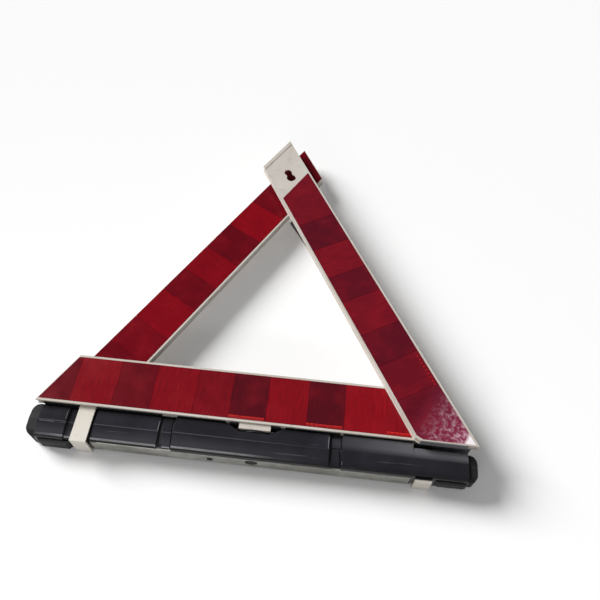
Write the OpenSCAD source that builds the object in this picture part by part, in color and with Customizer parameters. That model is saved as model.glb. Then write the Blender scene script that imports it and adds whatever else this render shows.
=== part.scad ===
// Folding warning triangle, lying on its back as it is laid down and photographed from above.
// X runs along the base arm, Y from the foot towards the apex, and Z is the way the lenses face.
// The origin is on the surface it lies on, under the middle of the foot.

/* [Triangle] */
// Side of the triangle, along the outer edges of the arms
side = 450; // [420:5:500]
// Width of each arm
arm_w = 54; // [48:1:60]
// Thickness of each arm
arm_t = 9.5; // [8:0.5:12]
// Gap between two arms that fold past each other
layer_gap = 0.5; // [0.3:0.1:1]
// How far the left end of the base arm reaches past the triangle's side
base_left_over = 8; // [0:1:10]
// How far the right end of the base arm stops short of the triangle's side
base_right_short = 2; // [1:1:6]
// How far the left arm's tip passes the right arm's outer edge
left_over = 20; // [8:1:28]
// How far the right arm's tip passes the left arm's outer edge
right_over = 16; // [8:1:24]
// How far the right arm's lower end hangs below the base arm
heel_drop = 3; // [0:0.5:4]

/* [Arm section] */
// Width of the pale rim around each lens
rim_w = 2.2; // [1.6:0.2:3]
// Thickness of the floor of each arm
floor_t = 1.6; // [1.2:0.1:2.2]
// Thickness of the red lens
lens_t = 2.2; // [1.6:0.1:3]
// How far the lens lies below the rim
lens_sink = 0.5; // [0.2:0.1:1]
// Clearance around a lens in its rim
lens_fit = 0.15; // [0.1:0.05:0.3]
// Width of the ledge that carries a lens
ledge_w = 1.6; // [1:0.2:2.4]
// Depth of the hollow run along the outside of each wall
wall_hollow = 0.6; // [0.3:0.1:0.9]
// Height of the front rim above that hollow
rim_h = 2.6; // [2:0.2:3.6]
// Height of the lip under that hollow
lip_h = 1.2; // [0.8:0.2:2]
// Thickness of the plain decks beside the lenses
deck_t = 1.8; // [1.4:0.1:2.4]

/* [End plate and keyhole] */
// Length of the plain end plate that lies inside the left arm's outer edge
plate_in = 40; // [34:1:46]
// Width of the raised band along the end of the plate
band_w = 5; // [3:0.5:8]
// Height of that band above the plate
band_h = 0.5; // [0.3:0.1:1]
// Radius of the wide hole of the keyhole
key_r = 6.2; // [5.6:0.2:6.8]
// Radius of the narrow hole of the keyhole
key_small_r = 5.2; // [4.8:0.2:5.6]
// Distance between the two holes of the keyhole
key_step = 10.4; // [9.6:0.2:12]
// Width of the neck between them
key_neck_w = 8.2; // [7:0.2:9]
// Radius of the stud under the narrow hole
stud_r = 6; // [4:0.5:8]

/* [Arm pivots] */
// Radius of the pivot rivets
rivet_r = 3; // [2.5:0.25:4]
// Running clearance of a rivet in its bore
rivet_fit = 0.05; // [0.02:0.01:0.1]
// Radius of the rivet heads
rivet_head_r = 5.5; // [5:0.25:7]
// Height of the rivet heads
rivet_head_h = 1.3; // [1:0.1:1.5]
// Gap under a rivet's turning head
head_gap = 0.3; // [0.2:0.1:0.5]
// Radius of the bosses round the rivets
boss_r = 9; // [8:0.5:12]

/* [Foot] */
// Height of the foot below the base arm
foot_h = 33.4; // [30:0.5:38]
// Depth of the foot at its proudest panel
foot_d = 34.5; // [31:0.5:38]
// How far the base arm's rim stands in front of that panel
face_gap = 2.5; // [1.5:0.5:4]
// Running gap between the foot and the base arm
foot_gap = 0.6; // [0.4:0.1:1]
// Wall thickness of the foot's shells
shell_t = 2.2; // [1.8:0.1:3]
// How far the foot's shells reach past the triangle's left corner
foot_left_over = 1; // [-3:1:5]
// How far the foot's shells stop short of the triangle's right corner
foot_right_short = 7; // [3:1:11]
// How far the left end cap bulges
left_bulge = 9.5; // [6:0.5:12]
// How far the right end cap bulges
right_bulge = 9; // [6:0.5:12]
// Distance of the right end cap's back from the foot's back
right_cap_back = 11; // [5:0.5:14]
// Height of the crease in the front panels above the bottom
crease_y = 17; // [15:0.5:22]
// How far the crease stands proud of the panels' edges
crease_h = 1.4; // [0.6:0.2:2]
// Radius of the panels' lower edge
low_r = 8; // [5:0.5:10]
// Radius of the panels' upper edge
top_r = 2.4; // [2:0.2:4]
// Radius of the foot's back edges
back_r = 6.5; // [4:0.5:8]
// How far the middle panel lies behind the right one
panel2_back = 1.3; // [0.5:0.1:2]
// How far the left panel lies behind the right one
panel1_back = 3.5; // [2:0.25:4]
// How far the left end lies behind the right panel
end_back = 4.5; // [3:0.25:5]
// Depth of the grooves beside the middle panel
groove_d = 3.2; // [2:0.2:4]

/* [Foot pivot] */
// Radius of the turntable boss under the base arm
turn_r = 16.5; // [14:0.5:18]
// Radius of the foot's cone-shaped recess, at its mouth
cone_mouth_r = 33; // [30:0.5:35]
// Radius of that recess at its floor
cone_floor_r = 22; // [20:0.5:24]
// Depth of that recess
cone_depth = 8; // [7:0.5:10]
// Radius of the flange on top of the turntable, in that recess
flange_r = 30.5; // [26:0.5:31]
// Radius of the pivot bolt
bolt_r = 3.2; // [2.6:0.2:3.6]
// Radius of the pivot bolt's head
bolt_head_r = 4.8; // [4.4:0.2:5.4]
// Height of the pivot bolt's head
bolt_head_h = 3; // [2:0.5:4]
// Radius of the hole that the bolt's head lies in
bolt_hole_r = 6.5; // [6.3:0.1:7.2]
// Thickness of the washer on the bolt
washer_t = 0.8; // [0.5:0.1:1.2]

/* [Foot bottom] */
// Width of the steel strip under the foot
strip_w = 20.5; // [16:0.5:21]
// Thickness of the steel strip
strip_t = 1.5; // [1:0.1:2]
// Gap between each end of the steel strip and the hooks' recesses
strip_end_gap = 2; // [1:0.5:10]
// Gap between the ballast bars and the screws' outer posts
ballast_gap = 4; // [2:1:30]
// Height of each ballast bar
ballast_h = 12; // [8:0.5:14]
// Clearance between a ballast bar and the shells
ballast_fit = 0.3; // [0.2:0.1:0.6]
// How far the pads stand below the foot
pad_h = 3; // [2.6:0.1:3.6]
// Width of the left pad
left_pad_w = 16; // [10:1:17]
// Width of the right pad
right_pad_w = 9; // [7:0.5:10]
// Gap between the foot's back and the left pad
left_pad_back = 5; // [4:0.5:6]
// Gap between the foot's back and the right pad
right_pad_back = 17; // [14:0.5:18]
// Gap between a pad and the hook beside it
pad_hook_gap = 3; // [2:0.5:8]
// Radius of the screws that join the shells
shell_screw_r = 1.5; // [1:0.1:1.8]
// Radius of those screws' heads
shell_screw_head_r = 3; // [2.4:0.1:3.4]
// Height of those screws' heads
shell_screw_head_h = 1.8; // [1.2:0.1:2]
// Radius of the posts that take them
shell_post_r = 4; // [3:0.5:5]

/* [Hooks] */
// Width of the two hooks that hold the foot closed
hook_w = 17; // [14:1:18]
// Thickness of the hooks
hook_t = 1.8; // [1.4:0.1:2]
// Distance from the left end of the foot's shells to the front hook's middle
front_hook_in = 48.5; // [47:0.5:50]
// Distance from the right end of the foot's shells to the rear hook's middle
rear_hook_in = 44; // [42:0.5:46]
// How far the tip of the rear hook reaches forward
rear_hook_reach = 25; // [18:1:27]
// Clearance between a hook and the foot
hook_clear = 0.4; // [0.3:0.1:0.8]
// How far the dark strip under the base arm hangs below the arm's back
skirt_h = 17; // [10:1:19]
// How far the front hook's bay reaches past it on the left
bay_left_over = 10; // [4:1:14]
// How far the front hook's bay reaches past it on the right
bay_right_over = 2.5; // [2:0.5:6]
// Depth of the bay behind the front hook
bay_depth = 3; // [1:0.5:4]

/* [Hidden] */
$fn = 64;

// Edge length that a wall cuts from the arm's slanted ends, for each millimetre of wall
slant = 1 / sin(60);
// Shift along an arm that its slanted end makes for each millimetre across
skew = 1 / tan(60);

// Heights of the layers above the resting surface
base_front_z = foot_d + face_gap;
base_z = base_front_z - arm_t;
left_z = base_z - layer_gap - arm_t;
right_z = base_front_z + layer_gap;
lens_seat = arm_t - lens_sink - lens_t;

// Places in the plane of the triangle
foot_bottom_y = -foot_h / 2;
foot_top_y = foot_h / 2;
base_y = foot_top_y + foot_gap;
pivot_x = side / 2 - arm_w / 2 / skew;
pivot_y = base_y + arm_w / 2;
outer_u = side - arm_w * slant;
left_tip_u = outer_u + left_over * slant;
right_tip_u = outer_u + right_over * slant;
plate_u = outer_u - plate_in * slant;
key_u = outer_u - arm_w / 2 * slant;
stud_u = key_u + key_step;
left_lens_u = boss_r + 4;

// The foot's parts
foot_left = side / 2 + foot_left_over;
foot_right = side / 2 - foot_right_short;
front_hook_x = foot_left - front_hook_in;
rear_hook_x = foot_right - rear_hook_in;
foot_pivot_z = foot_d / 2 - 0.25;
relief_x = rear_hook_x - hook_w / 2 - 2.5;
heel_cut = 3;
heel_strip_t = 0.8;
heel_sweep = norm([arm_w / 2 + heel_drop + heel_strip_t, 9.5]);
relief_top = heel_sweep - arm_w / 2 + 0.4 - foot_gap;
relief_back = hook_t + 2 * hook_clear;
bay_left = front_hook_x + hook_w / 2 + bay_left_over;
bay_right = front_hook_x - hook_w / 2 - bay_right_over;
strap_z = base_front_z - 5 - hook_t;
split_z = foot_d / 2;
core_front = strap_z - bay_depth;
tab_y = base_y - 6;
tab_top_z = base_front_z - 2.5;
strip_z = foot_pivot_z - 2;
bolt_y = foot_bottom_y + 0.6;
bolt_seat_y = bolt_y + bolt_head_h + washer_t;
screw_x = 43;
strip_left = bay_right - strip_end_gap / 2;
strip_right = relief_x - strip_end_gap;
shell_screw_l = split_z + 3;
block_half_l = cone_mouth_r + 3;
inner_screw_x = block_half_l + 2 * shell_post_r + 4;
ballast_x = inner_screw_x + shell_post_r + 2;
end_screw_x = relief_x - shell_t - shell_post_r - 2;
ballast_l = end_screw_x - shell_post_r - ballast_gap - ballast_x;

// Front of each stretch of the foot's shells, as [from x, to x, front z]
panel1_z = foot_d - panel1_back;
panel2_z = foot_d - panel2_back;
groove1_x = 98.5;
groove1_w = 16;
groove2_x = 78;
groove2_w = 13;
stretches = [
    [-foot_left, -bay_left, foot_d - end_back],
    [-bay_left, -bay_right, core_front],
    [-bay_right, -groove1_x, panel1_z],
    [-groove1_x, groove1_w - groove1_x, panel2_z - groove_d - 1],
    [groove1_w - groove1_x, groove2_x, panel2_z],
    [groove2_x, groove2_x + groove2_w, panel2_z - groove_d],
    [groove2_x + groove2_w, relief_x, foot_d]];

// Where the shells' screws stand along X
screw_places = [
    21 - foot_left,
    -inner_screw_x,
    inner_screw_x,
    end_screw_x];

// A strip across an arm, with both ends cut at the tip's slant
function slanted(u0, u1, half) = [
    [u0 - half * skew, -half],
    [u1 - half * skew, -half],
    [u1 + half * skew, half],
    [u0 + half * skew, half]];

// Outline of a slanted arm along u, outer side up, with its edges moved in by s
function arm_outline(heel_u, tip_u, s) = let (half = arm_w / 2 - s) [
    [heel_u, -half],
    [tip_u - s * slant - half * skew, -half],
    [tip_u - s * slant + half * skew, half],
    [heel_u, half]];

// Outline of the right arm, whose heel is cut level, with its edges moved in by s
function right_outline(tip_u, s) = let (half = arm_w / 2 - s, low = arm_w / 2 + heel_drop - s) [
    [(half / 2 + heel_cut * sin(60) - low) * slant, -half],
    [tip_u - s * slant - half * skew, -half],
    [tip_u - s * slant + half * skew, half],
    [(-half / 2 - low) * slant, half],
    [(half / 2 - low) * slant - heel_cut / 2, heel_cut * sin(60) - half]];

// Outline of the base arm, with its edges moved in by s and its right end by right_s
function base_outline(s, right_s) = let (
    left_x = -side / 2 - base_left_over + s * slant,
    right_x = side / 2 - base_right_short - right_s * slant) [
    [left_x + s * skew, s],
    [right_x - s * skew, s],
    [right_x - (arm_w - s) * skew, arm_w - s],
    [left_x + (arm_w - s) * skew, arm_w - s]];

// Points of a quarter round about [y, z], from angle a, that never turns inside out
function round_edge(y, z, r, a) = let (q = max(r, 0.1))
    [for (i = [0:6]) [y + q * cos(a + 15 * i), z + q * sin(a + 15 * i)]];

// Section of the foot in Y and Z, with its walls moved in by s
function foot_section(front, top_drop, back, s) = let (
    top = foot_h - top_drop,
    edge = front - crease_h) concat(
    round_edge(back_r, back + back_r, back_r - s, 180),
    round_edge(top - back_r, back + back_r, back_r - s, 270),
    round_edge(top - top_r, edge - top_r, top_r - s, 0),
    [[crease_y, front - s]],
    round_edge(low_r, edge - low_r, low_r - s, 90));

// Puts a left arm's own frame, with u along the arm from its pivot, in place
module at_left() {
    translate([-pivot_x, pivot_y, 0])
        rotate([0, 0, 60])
            children();
}

// Puts the same frame, mirrored, on the right
module at_right() {
    mirror([1, 0, 0])
        at_left()
            children();
}

// Lays a section in Y and Z along X, from x0 to x1
module along_x(x0, x1) {
    translate([x0, foot_bottom_y, 0])
        rotate([90, 0, 90])
            linear_extrude(x1 - x0)
                children();
}

// A round bar along Y, from y0 to y1, on the foot's pivot axis
module on_foot_axis(y0, y1, r_low, r_top) {
    translate([0, y0, foot_pivot_z])
        rotate([-90, 0, 0])
            cylinder(h = y1 - y0, r1 = r_low, r2 = r_top);
}

module left_shape(s) {
    polygon(arm_outline(0, left_tip_u, s));
    circle(arm_w / 2 - s);
}

module right_shape(s) {
    polygon(right_outline(right_tip_u, s));
}

module base_shape(s) {
    translate([0, base_y])
        polygon(base_outline(s, s));
}

module left_lens_shape(s) {
    polygon(arm_outline(left_lens_u + s - rim_w, left_tip_u, s));
}

module right_lens_shape(s) {
    polygon(right_outline(plate_u + rim_w * slant, s));
}

// The base lens stops under the right arm, ten millimetres from its inner edge
module base_lens_shape(s) {
    translate([0, base_y])
        polygon(base_outline(s, arm_w - 10 + s));
}

// The hollow run around an arm's outer walls; children are the outline and the outline moved in
module wall_run() {
    translate([0, 0, lip_h])
        linear_extrude(arm_t - lip_h - rim_h)
            difference() {
                children(0);
                children(1);
            }
}

// Seat for a lens and the space under it; children are the lens outline and the space's outline
module lens_bed() {
    translate([0, 0, lens_seat])
        linear_extrude(arm_t)
            children(0);
    translate([0, 0, floor_t])
        linear_extrude(arm_t)
            children(1);
}

module rivet_boss(x, y) {
    translate([x, y, 0])
        cylinder(h = arm_t, r = boss_r);
}

module rivet_hole(x, y, head_depth) {
    translate([x, y, -1])
        cylinder(h = arm_t + 2, r = rivet_r);
    translate([x, y, -1])
        cylinder(h = head_depth + 1, r = rivet_head_r + 0.3);
}

// The turntable under the base arm, on which the foot turns, with a flange in the foot's recess
module turntable() color([0.12, 0.12, 0.13]) {
    difference() {
        union() {
            on_foot_axis(base_y - foot_gap - cone_depth + 0.4, base_y - 0.4, turn_r, turn_r);
            intersection() {
                on_foot_axis(base_y - 1.6, base_y - 0.5, flange_r, flange_r);
                translate([-flange_r, base_y - 2, foot_pivot_z + 2])
                    cube([2 * flange_r, 2, tab_top_z - foot_pivot_z - 3]);
            }
        }
        tab_block();
        on_foot_axis(base_y - 30, base_y - 1, bolt_r, bolt_r);
    }
}

module tab_block() {
    translate([-turn_r, tab_y, base_z + 0.3])
        cube([2 * turn_r, base_y - tab_y, tab_top_z - base_z - 0.3]);
}

// The block that joins the turntable to the base arm's lower wall
module turntable_tab() color("ivory") {
    tab_block();
    translate([1 - turn_r, base_y - 1, base_z + lip_h + 0.2])
        cube([2 * turn_r - 2, wall_hollow + 1, arm_t - lip_h - rim_h - 0.4]);
}

module base_frame() color("ivory") {
    translate([0, 0, base_z])
        difference() {
            union() {
                difference() {
                    linear_extrude(arm_t)
                        base_shape(0);
                    wall_run() {
                        base_shape(-1);
                        base_shape(wall_hollow);
                    }
                    lens_bed() {
                        base_lens_shape(rim_w);
                        base_lens_shape(rim_w + ledge_w);
                    }
                    base_end_space();
                }
                rivet_boss(pivot_x, pivot_y);
            }
            rivet_hole(pivot_x, pivot_y, rivet_head_h + 0.2);
            translate([-pivot_x, pivot_y, -1])
                cylinder(h = floor_t + 2, r = rivet_r + rivet_fit);
        }
}

// The space under the base arm's plain deck, at its right end
module base_end_space() {
    translate([0, 0, floor_t])
        linear_extrude(arm_t - floor_t - deck_t)
            difference() {
                base_shape(rim_w);
                base_lens_shape(rim_w - 2);
            }
}

module left_frame() color("ivory") {
    translate([0, 0, left_z])
        at_left()
            difference() {
                union() {
                    difference() {
                        linear_extrude(arm_t)
                            left_shape(0);
                        wall_run() {
                            left_shape(-1);
                            left_shape(wall_hollow);
                        }
                        lens_bed() {
                            left_lens_shape(rim_w);
                            left_lens_shape(rim_w + ledge_w);
                        }
                        translate([0, 0, floor_t])
                            linear_extrude(arm_t - floor_t - deck_t)
                                circle(arm_w / 2 - rim_w);
                    }
                    rivet_boss(0, 0);
                }
                rivet_hole(0, 0, rivet_head_h + 0.2);
            }
}

// The keyhole in the right arm's end plate
module keyhole() {
    translate([key_u, 0, 0])
        cylinder(h = arm_t + band_h + 1, r = key_r);
    translate([stud_u, 0, 0])
        cylinder(h = arm_t + band_h + 1, r = key_small_r);
    translate([key_u, -key_neck_w / 2, 0])
        cube([key_step, key_neck_w, arm_t + band_h + 1]);
}

module right_frame() color("ivory") {
    translate([0, 0, right_z])
        at_right()
            difference() {
                union() {
                    difference() {
                        linear_extrude(arm_t)
                            right_shape(0);
                        wall_run() {
                            right_shape(-1);
                            right_shape(wall_hollow);
                        }
                        lens_bed() {
                            right_lens_shape(rim_w);
                            right_lens_shape(rim_w + ledge_w);
                        }
                        translate([0, 0, -1])
                            linear_extrude(arm_t - deck_t + 1)
                                polygon(slanted(plate_u + 2, right_tip_u - rim_w * slant, arm_w / 2 - rim_w));
                    }
                    end_band();
                }
                translate([0, 0, -1])
                    keyhole();
                translate([0, 0, -1])
                    cylinder(h = floor_t + 2, r = rivet_r + rivet_fit);
            }
}

// The raised band along the end of the right arm's plate
module end_band() {
    translate([0, 0, arm_t - 0.5])
        linear_extrude(band_h + 0.5)
            polygon(slanted(right_tip_u - band_w * slant, right_tip_u, arm_w / 2));
}

module lens(z) {
    color([0.55, 0.05, 0.09])
        translate([0, 0, z + lens_seat])
            linear_extrude(lens_t)
                children();
}

module base_lens() {
    lens(base_z)
        base_lens_shape(rim_w + lens_fit);
}

module left_lens() {
    at_left()
        lens(left_z)
            left_lens_shape(rim_w + lens_fit);
}

module right_lens() {
    at_right()
        lens(right_z)
            right_lens_shape(rim_w + lens_fit);
}

// A rivet through two arms, fixed in the lower one, with its lower head sunk in that arm's floor
module rivet(x, lower_z) {
    top_z = arm_t + layer_gap + floor_t + head_gap;
    color("silver")
        translate([x, pivot_y, lower_z]) {
            translate([0, 0, 0.2])
                cylinder(h = top_z + rivet_head_h - 0.2, r = rivet_r);
            translate([0, 0, 0.2])
                cylinder(h = rivet_head_h, r = rivet_head_r);
            translate([0, 0, top_z])
                cylinder(h = rivet_head_h, r = rivet_head_r);
        }
}

module left_rivet() {
    rivet(-pivot_x, left_z);
}

module right_rivet() {
    rivet(pivot_x, base_z);
}

// The stud on the left arm's lens, under the keyhole's narrow hole
module locking_stud() color([0.1, 0.1, 0.11]) {
    at_right()
        translate([stud_u, 0, left_z + arm_t - lens_sink])
            cylinder(h = lens_sink, r = stud_r);
}

// The dark strip on the lower end of the right arm, above the foot
module heel_strip() color([0.1, 0.1, 0.11]) {
    left_x = pivot_x - 9.5;
    translate([left_x, base_y - heel_drop - heel_strip_t, right_z])
        cube([foot_right - 2 - left_x, heel_strip_t, arm_t]);
}

// The dark strip below it, on the base arm's lower wall, with a skirt down towards the foot.
// It is notched for the rear hook's pad.
module base_strip() color([0.1, 0.1, 0.11]) {
    left_x = relief_x + 1.5;
    length = side / 2 - base_right_short - 1 - left_x;
    difference() {
        translate([left_x, base_y - heel_strip_t, 0]) {
            translate([0, 0, base_z + 0.3])
                cube([length, heel_strip_t, arm_t - 0.6]);
            translate([0, 0, base_z - skirt_h])
                cube([length, heel_strip_t - layer_gap + 0.1, skirt_h + 1]);
        }
        translate([rear_hook_x - hook_w / 2 - 0.2, base_y - heel_strip_t - 1, base_z])
            cube([hook_w + 0.4, heel_strip_t + 2, lip_h + 0.2]);
    }
}

// The hook in front of the foot, on the left
module front_hook() color("ivory") {
    low_y = foot_bottom_y - hook_clear - hook_t;
    translate([-front_hook_x - hook_w / 2, 0, 0]) {
        translate([0, low_y, strap_z])
            cube([hook_w, base_y + wall_hollow - low_y, hook_t]);
        translate([0, low_y, 0.6])
            cube([hook_w, hook_t, strap_z + hook_t - 0.6]);
    }
}

// The hook behind the foot, on the right, with its pad on the base arm's lower lip
module rear_hook() color("ivory") {
    low_y = foot_bottom_y - hook_clear - hook_t;
    arm_top = base_y - heel_strip_t;
    translate([rear_hook_x - hook_w / 2, 0, 0]) {
        translate([0, low_y, hook_clear])
            cube([hook_w, arm_top - low_y, hook_t]);
        translate([0, low_y, hook_clear])
            cube([hook_w, hook_t, rear_hook_reach - hook_clear]);
        translate([0, arm_top - hook_t, hook_clear])
            cube([hook_w, hook_t, base_z + lip_h - hook_clear]);
        translate([0, arm_top - hook_t, base_z + 0.1])
            cube([hook_w, base_y - arm_top + hook_t, lip_h - 0.1]);
    }
}

// The outside of the foot's shells, stretch by stretch
module foot_body() {
    for (p = stretches)
        along_x(p[0], p[1])
            polygon(foot_section(p[2], 0, 0, 0));
}

// The hollow inside the shells, with a wall left at each end
module foot_hollow() {
    along_x(shell_t - foot_left, relief_x - shell_t)
        polygon(foot_section(core_front, 0, 0, shell_t));
}

// What is cut out of the shells for the turntable, the strip and the bolt
module foot_cuts() {
    on_foot_axis(foot_top_y - cone_depth, foot_top_y + 0.01, cone_floor_r, cone_mouth_r);
    on_foot_axis(foot_bottom_y - 1, bolt_seat_y, bolt_hole_r, bolt_hole_r);
    translate([-strip_left, foot_bottom_y - 1, strip_z - strip_w / 2])
        cube([strip_left + strip_right, strip_t + 1, strip_w]);
    at_shell_screws() {
        cylinder(h = shell_screw_l, r = shell_screw_r);
        translate([0, 0, -1])
            cylinder(h = shell_screw_head_h + 1.2, r = shell_screw_head_r + 0.2);
    }
}

module at_shell_screws() {
    for (x = screw_places)
        translate([x, 2, 0])
            children();
}

module shell_posts() {
    for (x = screw_places)
        translate([x, 2, shell_t])
            cylinder(h = core_front - crease_h - shell_t, r = shell_post_r);
}

module shell_half(z0, z1) {
    color([0.19, 0.19, 0.21])
        difference() {
            intersection() {
                union() {
                    difference() {
                        foot_body();
                        foot_hollow();
                    }
                    shell_posts();
                }
                translate([-foot_left - 1, foot_bottom_y - 1, z0])
                    cube([foot_left + relief_x + 2, foot_h + 2, z1 - z0]);
            }
            foot_cuts();
        }
}

module front_shell() {
    shell_half(split_z, foot_d + 1);
}

module rear_shell() {
    shell_half(-1, split_z);
}

// The foot's right end, drawn in below the right arm's heel and at the back for the rear hook
module right_end() color([0.19, 0.19, 0.21]) {
    difference() {
        along_x(relief_x, foot_right)
            polygon(foot_section(foot_d, relief_top, relief_back, 0));
        along_x(relief_x - 1, foot_right - shell_t)
            polygon(foot_section(foot_d, relief_top, relief_back, shell_t));
        translate([rear_hook_x - hook_w / 2, foot_bottom_y - 1, rear_hook_reach + 1.5])
            cube([hook_w, shell_t + 0.4, 4]);
    }
}

// An end cap with round corners, bulging from x0, in a section of the foot
module end_cap(x0, bulge, front, top_drop, back) {
    corner = bulge - 0.5;
    high = foot_h - top_drop;
    color([0.17, 0.17, 0.19])
        intersection() {
            along_x(x0, x0 + bulge)
                polygon(foot_section(front, top_drop, back, 0));
            translate([x0, foot_bottom_y, -1])
                linear_extrude(foot_d + 2) {
                    square([bulge - corner, high]);
                    translate([0, corner])
                        square([bulge, high - 2 * corner]);
                    for (y = [corner, high - corner])
                        translate([bulge - corner, y])
                            circle(corner);
                }
        }
}

module left_cap() {
    mirror([1, 0, 0])
        end_cap(foot_left, left_bulge, foot_d - end_back, 0, 0);
}

module right_cap() {
    end_cap(foot_right, right_bulge, foot_d - 2, relief_top + 1, right_cap_back);
}

// The block inside the foot that turns on the bolt
module pivot_block() color([0.12, 0.12, 0.13]) {
    difference() {
        along_x(-block_half_l, block_half_l)
            polygon(foot_section(core_front, 0, 0, shell_t));
        on_foot_axis(foot_top_y - cone_depth, foot_top_y + 0.01, cone_floor_r, cone_mouth_r);
        on_foot_axis(foot_bottom_y, foot_top_y, bolt_r + rivet_fit, bolt_r + rivet_fit);
        on_foot_axis(foot_bottom_y, bolt_seat_y, bolt_hole_r, bolt_hole_r);
    }
}

module pivot_bolt() color("silver") {
    on_foot_axis(bolt_y, bolt_y + bolt_head_h, bolt_head_r, bolt_head_r);
    on_foot_axis(bolt_y, base_y - 1, bolt_r, bolt_r);
}

module pivot_washer() color("gainsboro") {
    washer_y = bolt_y + bolt_head_h;
    difference() {
        on_foot_axis(washer_y, washer_y + washer_t - 0.3, bolt_hole_r - 0.5, bolt_hole_r - 0.5);
        on_foot_axis(washer_y - 1, washer_y + washer_t + 1, bolt_r, bolt_r);
    }
}

module steel_strip() color([0.5, 0.5, 0.48]) {
    difference() {
        translate([-strip_left, foot_bottom_y, strip_z - strip_w / 2])
            cube([strip_left + strip_right, strip_t, strip_w]);
        on_foot_axis(foot_bottom_y - 1, foot_bottom_y + strip_t + 1, bolt_hole_r, bolt_hole_r);
        translate([-screw_x, foot_bottom_y - 1, strip_z])
            rotate([-90, 0, 0])
                cylinder(h = strip_t + 2, r = 1.6);
    }
}

module strip_screw() color([0.15, 0.15, 0.15]) {
    translate([-screw_x, foot_bottom_y, strip_z])
        rotate([-90, 0, 0]) {
            translate([0, 0, -0.8])
                cylinder(h = 0.8, r = 3.2);
            cylinder(h = strip_t, r = 1.5);
        }
}

module ballast(x) {
    color([0.4, 0.4, 0.42])
        intersection() {
            along_x(x, x + ballast_l)
                polygon(foot_section(core_front, 0, 0, shell_t + ballast_fit));
            translate([x, foot_bottom_y + shell_t, 0])
                cube([ballast_l, ballast_fit + ballast_h, foot_d]);
        }
}

module left_ballast() {
    ballast(-ballast_x - ballast_l);
}

module right_ballast() {
    ballast(ballast_x);
}

// A pad with slanted ends on which the foot stands
module pad(x0, x1, z0, width) {
    color([0.14, 0.14, 0.15])
        translate([0, foot_bottom_y - pad_h, z0])
            linear_extrude(width)
                polygon([[x0, pad_h], [x0 + pad_h, 0], [x1 - pad_h, 0], [x1, pad_h]]);
}

module left_pad() {
    pad(2 - foot_left, -front_hook_x - hook_w / 2 - pad_hook_gap, left_pad_back, left_pad_w);
}

module right_pad() {
    pad(rear_hook_x + hook_w / 2 + pad_hook_gap, foot_right - 1, right_pad_back, right_pad_w);
}

module shell_screws() color("silver") {
    at_shell_screws() {
        translate([0, 0, 0.2])
            cylinder(h = shell_screw_head_h, r = shell_screw_head_r);
        translate([0, 0, 0.2])
            cylinder(h = shell_screw_l - 0.2, r = shell_screw_r);
    }
}

base_frame();
turntable();
turntable_tab();
left_frame();
right_frame();
base_lens();
left_lens();
right_lens();
left_rivet();
right_rivet();
locking_stud();
heel_strip();
base_strip();
front_hook();
rear_hook();
front_shell();
rear_shell();
right_end();
left_cap();
right_cap();
pivot_block();
pivot_bolt();
pivot_washer();
steel_strip();
strip_screw();
left_ballast();
right_ballast();
left_pad();
right_pad();
shell_screws();
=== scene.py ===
# %% [markdown]
# # A folding warning triangle
# Three reflector arms are riveted into a triangle. A black foot bar turns under it.
# The triangle lies open on its back, as it would on a table while its owner checks it.
# The arms, the foot, the hooks and the screws come from the CAD model. This lesson gives them
# their finishes, and adds what plastic and metal show close up.

# %% Load the model
import bpy
import bmesh
import math
from mathutils import Matrix, Vector
from mathutils.bvhtree import BVHTree


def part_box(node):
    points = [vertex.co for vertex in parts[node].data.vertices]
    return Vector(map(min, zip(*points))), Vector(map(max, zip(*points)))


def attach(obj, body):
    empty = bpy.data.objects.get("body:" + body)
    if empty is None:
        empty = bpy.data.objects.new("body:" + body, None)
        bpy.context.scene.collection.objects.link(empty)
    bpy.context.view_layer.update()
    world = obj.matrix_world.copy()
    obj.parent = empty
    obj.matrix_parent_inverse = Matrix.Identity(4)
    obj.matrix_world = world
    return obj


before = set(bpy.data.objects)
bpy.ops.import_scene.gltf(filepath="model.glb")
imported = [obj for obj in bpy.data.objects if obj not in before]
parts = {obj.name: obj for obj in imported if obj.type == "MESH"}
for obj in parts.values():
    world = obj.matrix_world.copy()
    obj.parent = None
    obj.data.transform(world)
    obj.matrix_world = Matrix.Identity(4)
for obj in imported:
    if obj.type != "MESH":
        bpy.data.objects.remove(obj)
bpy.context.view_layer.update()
mm = 0.001

# %% [markdown]
# The arms are long strips, so it helps to have each arm's own directions. U runs along the arm,
# V runs across it. Where each arm starts comes from the CAD parts' boxes: a side arm at its
# pivot, the base arm at the middle of its lower wall.

# %% Each arm's own directions
side_angle = math.radians(60)
left_low, left_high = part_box("left_rivet")
right_low, right_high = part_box("right_rivet")
left_pivot = (left_low + left_high) / 2
right_pivot = (right_low + right_high) / 2


def lens_front(name):
    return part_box(name)[1].z


ARMS = {
    "base": {
        "origin": Vector((0.0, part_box("base_frame")[0].y, lens_front("base_lens"))),
        "u": Vector((1, 0, 0)), "v": Vector((0, 1, 0))},
    "left": {
        "origin": Vector((left_pivot.x, left_pivot.y, lens_front("left_lens"))),
        "u": Vector((math.cos(side_angle), math.sin(side_angle), 0)),
        "v": Vector((math.sin(side_angle), -math.cos(side_angle), 0))},
    "right": {
        "origin": Vector((right_pivot.x, right_pivot.y, lens_front("right_lens"))),
        "u": Vector((-math.cos(side_angle), math.sin(side_angle), 0)),
        "v": Vector((-math.sin(side_angle), -math.cos(side_angle), 0))},
}
for name, arm in ARMS.items():
    print(name, "arm starts at", tuple(round(c, 4) for c in arm["origin"]))

# %% [markdown]
# ## Finishes
# A finish here is a small network of shader nodes. The helpers below keep each network short:
# one adds a node and wires its inputs, one turns a screen colour into the linear values that
# the renderer uses, and the rest name the few kinds of node that come up again and again.
# Lengths inside a finish are in metres.

# %% Helpers for finishes


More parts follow.
